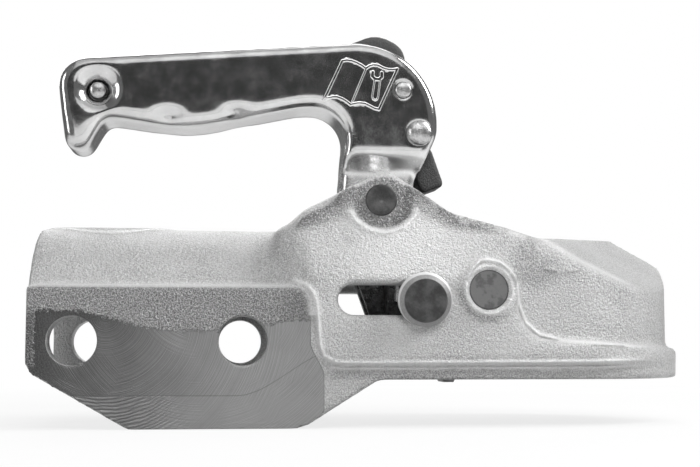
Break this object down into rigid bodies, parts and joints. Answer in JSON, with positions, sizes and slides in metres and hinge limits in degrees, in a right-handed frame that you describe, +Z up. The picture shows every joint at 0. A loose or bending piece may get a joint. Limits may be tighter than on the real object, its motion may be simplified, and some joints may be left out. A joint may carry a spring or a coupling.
{
  "type": "trailer coupling head",
  "caption": "Cast ball coupling head on a round drawbar, with a chromed hand lever, a sliding lock pin, a hinged jaw and a black safety catch.",
  "frame": {"origin": "on the drawbar's axis, midway between the two cross bolts", "axes": "+X along the drawbar towards the nose, +Y to the far side of the pictured view, +Z up"},
  "size_m": [0.2308, 0.0929, 0.1426],
  "materials": {
    "zinc_casting": "rough, zinc plated",
    "chrome_sheet": "mirror",
    "dark_steel": "phosphated",
    "dark_pin": "phosphated, worn",
    "jaw_steel": "satin",
    "zinc_steel": "satin",
    "rivet_steel": "polished",
    "spring_steel": "drawn",
    "black_plastic": "fine grain"
  },
  "bodies": {
    "housing": {"coupling_housing": "zinc_casting", "lever_pivot_pin": "dark_pin", "jaw_pin": "dark_pin", "pivot_washer_near": "zinc_steel", "pivot_washer_far": "zinc_steel", "return_spring_near": "spring_steel", "return_spring_far": "spring_steel"},
    "lever": {"hand_lever": "chrome_sheet", "lever_fork": "dark_steel", "pivot_bush": "zinc_steel", "catch_rivet": "rivet_steel", "stop_rivet": "rivet_steel", "end_rivet": "rivet_steel", "end_spacer": "zinc_steel"},
    "slider": {"sliding_pin": "dark_pin", "sliding_pin_washer": "zinc_steel", "sliding_pin_ring": "dark_pin", "locking_wedge_near": "dark_steel", "locking_wedge_far": "dark_steel"},
    "jaw": {"ball_jaw": "jaw_steel"},
    "catch": {"safety_catch": "black_plastic"}
  },
  "joints": [
    {"name": "lever_hinge", "type": "hinge", "parent": "housing", "child": "lever", "pos_m": [0.0746, 0, 0.0478], "axis": [0, 1, 0], "range_deg": [0, 38], "stiffness_Nm_per_rad": 2, "springref_deg": -22.92, "deforming": ["return_spring_near", "return_spring_far"]},
    {"name": "pin_slide", "type": "slide", "parent": "housing", "child": "slider", "axis": [1, 0, 0], "range_m": [-0.0235, 0]},
    {"name": "jaw_hinge", "type": "hinge", "parent": "housing", "child": "jaw", "pos_m": [0.1106, 0, 0.0172], "axis": [0, 1, 0], "range_deg": [0, 14]},
    {"name": "catch_hinge", "type": "hinge", "parent": "lever", "child": "catch", "pos_m": [0.0916, 0, 0.0752], "axis": [0, -1, 0], "range_deg": [0, 6], "stiffness_Nm_per_rad": 0.5, "springref_deg": -11.46}
  ],
  "couplings": [
    {"joint": "pin_slide", "follows": "lever_hinge", "m_per_rad": -0.03543},
    {"joint": "jaw_hinge", "follows": "lever_hinge", "ratio": 0.3684}
  ]
}
